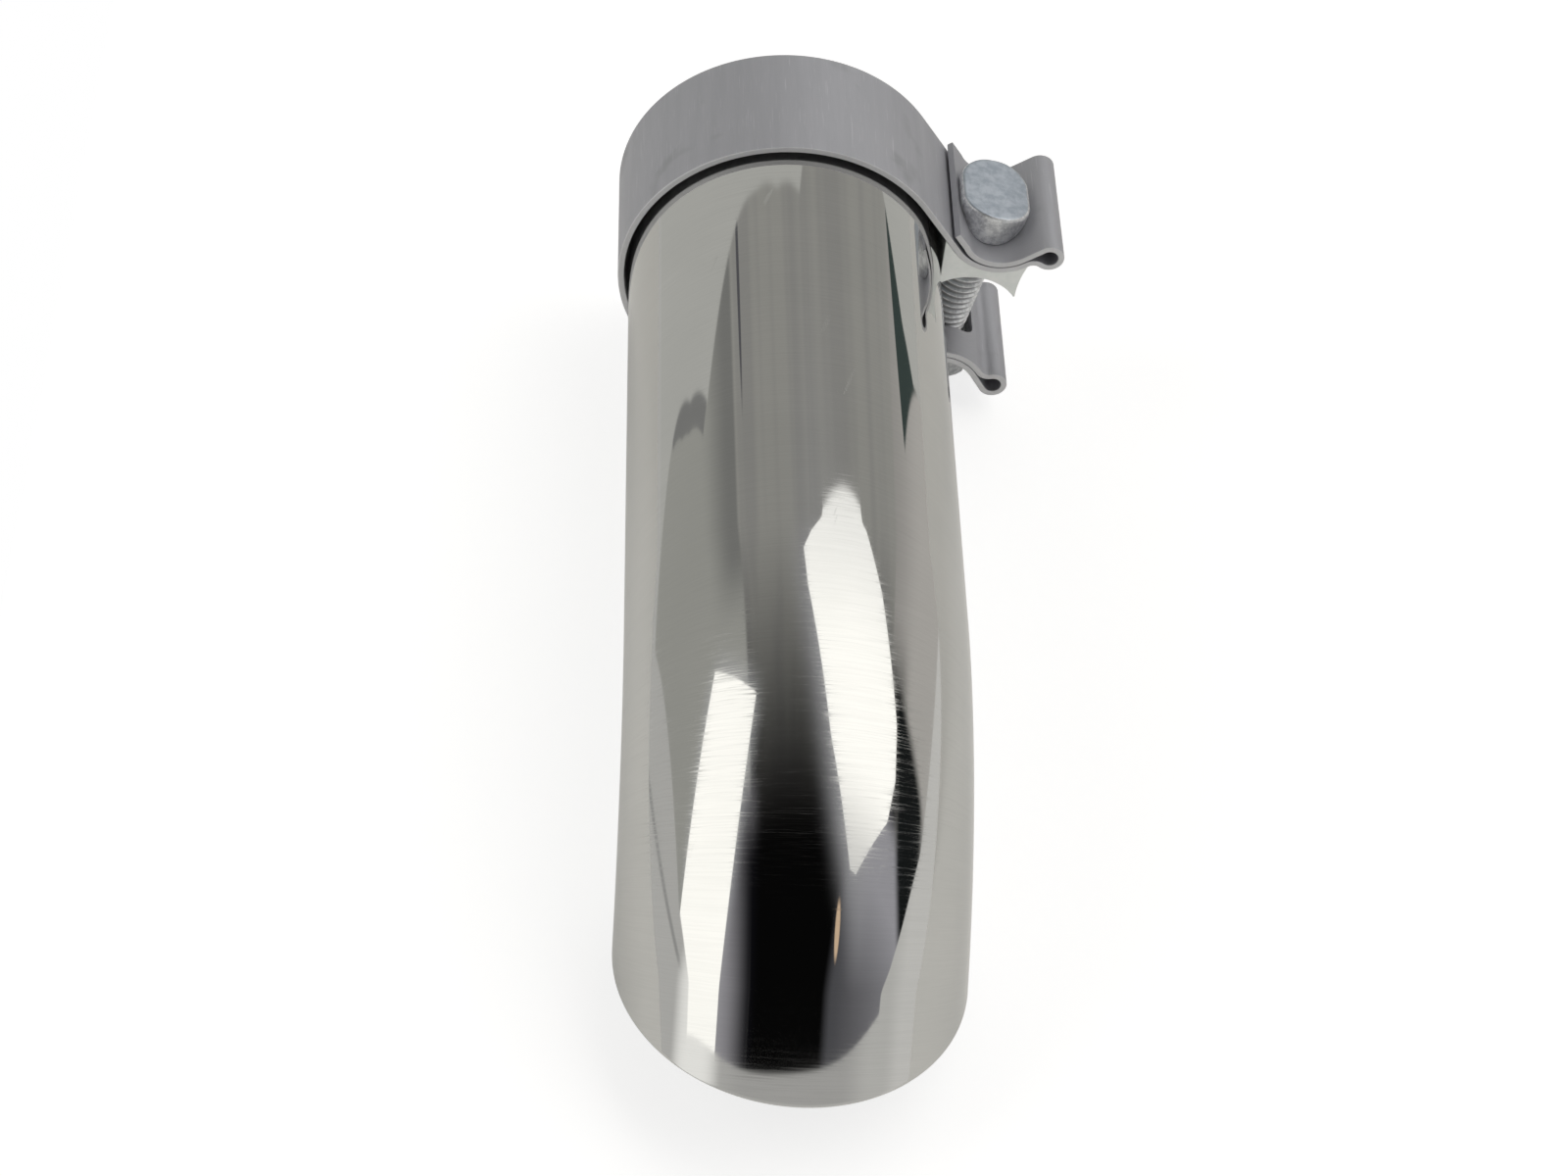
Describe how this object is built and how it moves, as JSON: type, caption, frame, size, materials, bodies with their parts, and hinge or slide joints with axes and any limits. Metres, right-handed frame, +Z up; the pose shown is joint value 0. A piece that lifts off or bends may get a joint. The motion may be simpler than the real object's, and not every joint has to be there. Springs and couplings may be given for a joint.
{
  "type": "turn-down exhaust tip with band clamp",
  "caption": "Polished steel tailpipe tip that turns down, cut aslant at the outlet, with a flat band clamp on its slotted inlet.",
  "frame": {"origin": "centre of the tube's inlet end, where the tailpipe enters", "axes": "+Y out of the inlet along its axis, towards the tailpipe; +Z up, opposite to the way the tube turns; +X towards the clamp's ears"},
  "size_m": [0.0904, 0.2217, 0.068],
  "materials": {
    "polished_tube": "mirror polished stainless steel",
    "satin_strap": "satin rolled stainless strip",
    "cast_zinc": "pale matt zinc",
    "plated_steel": "bright zinc plating"
  },
  "bodies": {
    "root": {"tip_tube": "polished_tube", "clamp_band": "satin_strap", "spacer_block": "cast_zinc", "clamp_bolt": "plated_steel", "saddle_washer": "cast_zinc", "clamp_nut": "plated_steel"}
  },
  "joints": []
}
